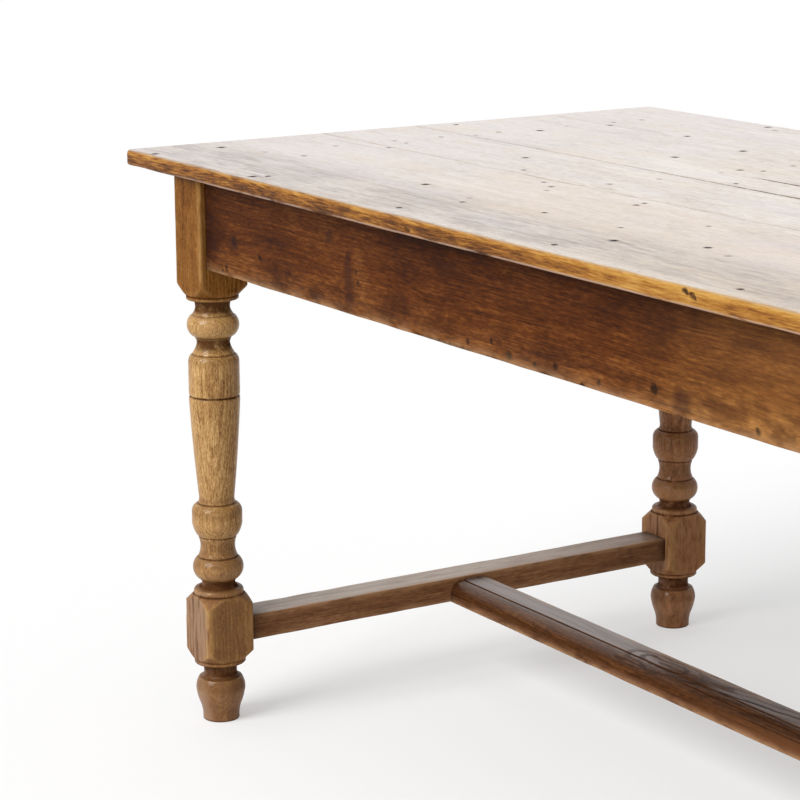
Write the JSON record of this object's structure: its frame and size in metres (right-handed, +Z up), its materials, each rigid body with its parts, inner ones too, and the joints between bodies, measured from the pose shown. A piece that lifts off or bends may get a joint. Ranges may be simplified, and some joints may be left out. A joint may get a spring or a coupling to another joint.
{
  "type": "refectory table",
  "caption": "Long refectory table with a boarded top, plain aprons, turned legs with square blocks and an H stretcher, for dining.",
  "frame": {"origin": "on the floor, under the middle of the table", "axes": "+X along the table's length, +Y from the front long side to the back, +Z up"},
  "size_m": [2.2, 0.87, 0.76],
  "materials": {
    "top_wood": "old waxed boards, worn pale",
    "apron_wood": "dark waxed, reddish brown",
    "leg_wood": "waxed golden brown",
    "rail_wood": "waxed, dusty on top",
    "footrail_wood": "dark, worn by feet",
    "bearer_wood": "unfinished, aged",
    "peg_wood": "end grain, waxed",
    "nail_iron": "dark and rusted"
  },
  "bodies": {
    "root": {"leg_front_left": "leg_wood", "leg_front_right": "leg_wood", "leg_back_left": "leg_wood", "leg_back_right": "leg_wood", "apron_front": "apron_wood", "apron_back": "apron_wood", "apron_left": "apron_wood", "apron_right": "apron_wood", "end_stretcher_left": "rail_wood", "end_stretcher_right": "rail_wood", "medial_stretcher": "footrail_wood", "left_bearer": "bearer_wood", "middle_bearer": "bearer_wood", "right_bearer": "bearer_wood", "front_plank": "top_wood", "front_middle_plank": "top_wood", "back_middle_plank": "top_wood", "back_plank": "top_wood", "apron_pegs": "peg_wood", "stretcher_pegs": "peg_wood", "medial_pegs": "peg_wood", "top_nails": "nail_iron"}
  },
  "joints": []
}
